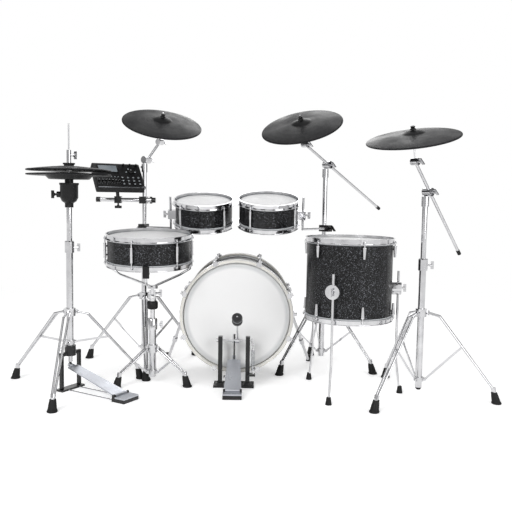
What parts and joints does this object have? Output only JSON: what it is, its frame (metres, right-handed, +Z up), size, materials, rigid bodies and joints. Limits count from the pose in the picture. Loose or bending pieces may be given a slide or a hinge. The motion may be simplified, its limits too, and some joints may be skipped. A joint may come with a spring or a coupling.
{
  "type": "electronic drum kit",
  "caption": "Electronic drum kit with mesh-head drums, rubber cymbal pads, hi-hat, kick pedal, chrome stands and a sound module.",
  "frame": {"origin": "middle of the kit's footprint, on the floor", "axes": "+Z up, -Y towards the drummer's seat, +X to the drummer's right"},
  "size_m": [2.0484, 1.0228, 1.2087],
  "materials": {
    "hardware": "polished chrome",
    "shell": "black wrap with silver glitter",
    "head": "white woven mesh",
    "kick_head": "white woven mesh with a soft grey ring",
    "kick_hoop": "cream lacquer",
    "pad": "matt black rubber",
    "rubber": "black rubber",
    "black_metal": "black powder coat",
    "board": "brushed silver",
    "module_body": "matt black",
    "controls": "dark grey",
    "lit_buttons": "lit from inside",
    "felt": "pressed felt"
  },
  "bodies": {
    "floor_standing_parts": {"hihat_tripod": "hardware", "hihat_pedal_frame": "black_metal", "snare_stand": "hardware", "kick_shell": "shell", "kick_heads": "kick_head", "kick_hoops": "kick_hoop", "kick_claws": "hardware", "kick_pedal_frame": "black_metal", "kick_pedal_spring": "hardware", "floor_tom_shell": "shell", "floor_tom_heads": "head", "floor_tom_hardware": "hardware", "left_stand": "hardware", "middle_stand": "hardware", "right_stand": "hardware", "stand_feet": "rubber"},
    "hihat_pedal_board": {"hihat_footboard": "board"},
    "hihat_upper": {"hihat_upper_tube": "hardware", "hihat_controller": "black_metal", "hihat_bottom_cymbal": "pad"},
    "hihat_pull_rod": {"hihat_rod": "hardware"},
    "hihat_top": {"hihat_clutch": "hardware", "hihat_top_cymbal": "pad"},
    "snare_post": {"snare_upper_tube": "hardware"},
    "snare_drum": {"snare_basket": "hardware", "snare_shell": "shell", "snare_heads": "head", "snare_hardware": "hardware"},
    "kick_board": {"kick_footboard": "board"},
    "kick_beater": {"kick_beater_shaft": "hardware", "kick_beater_head": "felt"},
    "kick_link": {"kick_drive_link": "hardware"},
    "kick_left_spur": {"kick_spur_left": "hardware"},
    "kick_right_spur": {"kick_spur_right": "hardware"},
    "floor_leg_front": {"floor_tom_leg_front": "hardware"},
    "floor_leg_rear": {"floor_tom_leg_rear": "hardware"},
    "floor_leg_right": {"floor_tom_leg_right": "hardware"},
    "left_post_body": {"left_post": "hardware", "module_mount": "black_metal"},
    "middle_post_body": {"middle_post": "hardware"},
    "right_post_body": {"right_post": "hardware"},
    "left_tom": {"left_tom_arm": "hardware", "left_tom_shell": "shell", "left_tom_heads": "head", "left_tom_hardware": "hardware"},
    "right_tom": {"right_tom_arm": "hardware", "right_tom_shell": "shell", "right_tom_heads": "head", "right_tom_hardware": "hardware"},
    "left_boom_arm": {"left_boom": "hardware"},
    "left_pad": {"left_cymbal": "pad"},
    "middle_boom_arm": {"middle_boom": "hardware"},
    "middle_pad": {"middle_cymbal": "pad"},
    "right_boom_arm": {"right_boom": "hardware"},
    "right_pad": {"right_cymbal": "pad"},
    "module": {"module_case": "module_body", "module_knobs": "controls"},
    "dial": {"module_dial": "controls"},
    "faders": {"module_faders": "controls"},
    "buttons": {"module_buttons": "lit_buttons"}
  },
  "joints": [
    {"name": "hihat_pedal", "type": "hinge", "parent": "floor_standing_parts", "child": "hihat_pedal_board", "pos_m": [-0.48939, -0.3207, 0.022], "axis": [-0.515, -0.8572, 0], "range_deg": [0, 2.19], "stiffness_Nm_per_rad": 20, "springref_deg": -34.38},
    {"name": "hihat_height", "type": "slide", "parent": "floor_standing_parts", "child": "hihat_upper", "axis": [0, 0, 1], "range_m": [-0.1, 0.1]},
    {"name": "hihat_pull", "type": "slide", "parent": "floor_standing_parts", "child": "hihat_pull_rod", "axis": [0, 0, -1], "range_m": [0, 0.0105]},
    {"name": "hihat_clutch_slide", "type": "slide", "parent": "hihat_pull_rod", "child": "hihat_top", "axis": [0, 0, 1], "range_m": [-0.1, 0.1]},
    {"name": "snare_height", "type": "slide", "parent": "floor_standing_parts", "child": "snare_post", "axis": [0, 0, 1], "range_m": [-0.035, 0.03]},
    {"name": "snare_tilt", "type": "hinge", "parent": "snare_post", "child": "snare_drum", "pos_m": [-0.40311, -0.06306, 0.388], "axis": [1, 0, 0], "range_deg": [-6, 10]},
    {"name": "kick_pedal", "type": "hinge", "parent": "floor_standing_parts", "child": "kick_board", "pos_m": [-0.05011, -0.25606, 0.024], "axis": [-1, 0, 0], "range_deg": [0, 9.25], "stiffness_Nm_per_rad": 12, "springref_deg": -34.38},
    {"name": "kick_beater", "type": "hinge", "parent": "floor_standing_parts", "child": "kick_beater", "pos_m": [-0.05011, -0.11306, 0.2], "axis": [-1, 0, 0], "range_deg": [0, 58.45], "deforming": ["kick_pedal_spring"]},
    {"name": "kick_link_turn", "type": "hinge", "parent": "kick_beater", "child": "kick_link", "pos_m": [-0.05011, -0.08708, 0.215], "axis": [-1, 0, 0], "range_deg": [-66.21, 0]},
    {"name": "kick_spur_left_fold", "type": "hinge", "parent": "floor_standing_parts", "child": "kick_left_spur", "pos_m": [-0.29557, 0.22694, 0.258], "axis": [1, 0, 0], "range_deg": [0, 22]},
    {"name": "kick_spur_right_fold", "type": "hinge", "parent": "floor_standing_parts", "child": "kick_right_spur", "pos_m": [0.20935, 0.22694, 0.258], "axis": [1, 0, 0], "range_deg": [0, 55]},
    {"name": "floor_tom_leg_front_slide", "type": "slide", "parent": "floor_standing_parts", "child": "floor_leg_front", "axis": [0, 0, 1], "range_m": [0, 0.1]},
    {"name": "floor_tom_leg_rear_slide", "type": "slide", "parent": "floor_standing_parts", "child": "floor_leg_rear", "axis": [0, 0, 1], "range_m": [0, 0.1]},
    {"name": "floor_tom_leg_right_slide", "type": "slide", "parent": "floor_standing_parts", "child": "floor_leg_right", "axis": [0, 0, 1], "range_m": [0, 0.1]},
    {"name": "left_post_height", "type": "slide", "parent": "floor_standing_parts", "child": "left_post_body", "axis": [0, 0, 1], "range_m": [0, 0.08]},
    {"name": "middle_post_height", "type": "slide", "parent": "floor_standing_parts", "child": "middle_post_body", "axis": [0, 0, 1], "range_m": [-0.03, 0.08]},
    {"name": "right_post_height", "type": "slide", "parent": "floor_standing_parts", "child": "right_post_body", "axis": [0, 0, 1], "range_m": [-0.08, 0.08]},
    {"name": "left_tom_tilt", "type": "hinge", "parent": "left_post_body", "child": "left_tom", "pos_m": [-0.49638, 0.23692, 0.65454], "axis": [0.9671, -0.2543, 0], "range_deg": [-10, 10]},
    {"name": "right_tom_tilt", "type": "hinge", "parent": "middle_post_body", "child": "right_tom", "pos_m": [0.36761, 0.22498, 0.6638], "axis": [0.6896, 0.7242, 0], "range_deg": [-10, 10]},
    {"name": "left_boom_swing", "type": "hinge", "parent": "left_post_body", "child": "left_boom_arm", "pos_m": [-0.49111, 0.25694, 0.968], "axis": [0.5547, 0.8321, 0], "range_deg": [-15, 20]},
    {"name": "left_cymbal_swing", "type": "hinge", "parent": "left_boom_arm", "child": "left_pad", "pos_m": [-0.39721, 0.18298, 1.15114], "axis": [0.9833, 0, -0.1822], "range_deg": [-8, 8], "stiffness_Nm_per_rad": 8},
    {"name": "middle_boom_swing", "type": "hinge", "parent": "middle_post_body", "child": "middle_boom_arm", "pos_m": [0.35189, 0.23994, 0.957], "axis": [0.6632, -0.7484, 0], "range_deg": [-15, 15]},
    {"name": "middle_cymbal_swing", "type": "hinge", "parent": "middle_boom_arm", "child": "middle_pad", "pos_m": [0.2229, 0.07219, 1.13855], "axis": [0.9703, 0, 0.2419], "range_deg": [-8, 8], "stiffness_Nm_per_rad": 8},
    {"name": "right_boom_swing", "type": "hinge", "parent": "right_post_body", "child": "right_boom_arm", "pos_m": [0.70889, -0.21606, 0.836], "axis": [0.6393, -0.769, 0], "range_deg": [-15, 15]},
    {"name": "right_cymbal_swing", "type": "hinge", "parent": "right_boom_arm", "child": "right_pad", "pos_m": [0.62584, -0.32404, 1.06368], "axis": [0.986, 0, 0.1668], "range_deg": [-8, 8], "stiffness_Nm_per_rad": 8},
    {"name": "module_tilt", "type": "hinge", "parent": "left_post_body", "child": "module", "pos_m": [-0.60596, 0.17754, 0.86056], "axis": [0.8746, 0.4848, 0], "range_deg": [-15, 15]},
    {"name": "module_dial_turn", "type": "hinge", "parent": "module", "child": "dial", "pos_m": [-0.54401, 0.1917, 0.90672], "axis": [0.3603, -0.65, 0.6691], "continuous": true},
    {"name": "module_faders_slide", "type": "slide", "parent": "module", "child": "faders", "axis": [-0.3244, 0.5852, 0.7431], "range_m": [-0.016, 0.016]},
    {"name": "module_buttons_press", "type": "slide", "parent": "module", "child": "buttons", "axis": [-0.3603, 0.65, -0.6691], "range_m": [0, 0.0015], "stiffness_N_per_m": 1500, "springref_m": -0.001}
  ],
  "couplings": [
    {"joint": "hihat_pull", "follows": "hihat_pedal", "m_per_rad": 0.275},
    {"joint": "hihat_clutch_slide", "follows": "hihat_height", "ratio": 1},
    {"joint": "kick_beater", "follows": "kick_pedal", "ratio": 6.3171},
    {"joint": "kick_link_turn", "follows": "kick_pedal", "ratio": -7.1566}
  ]
}
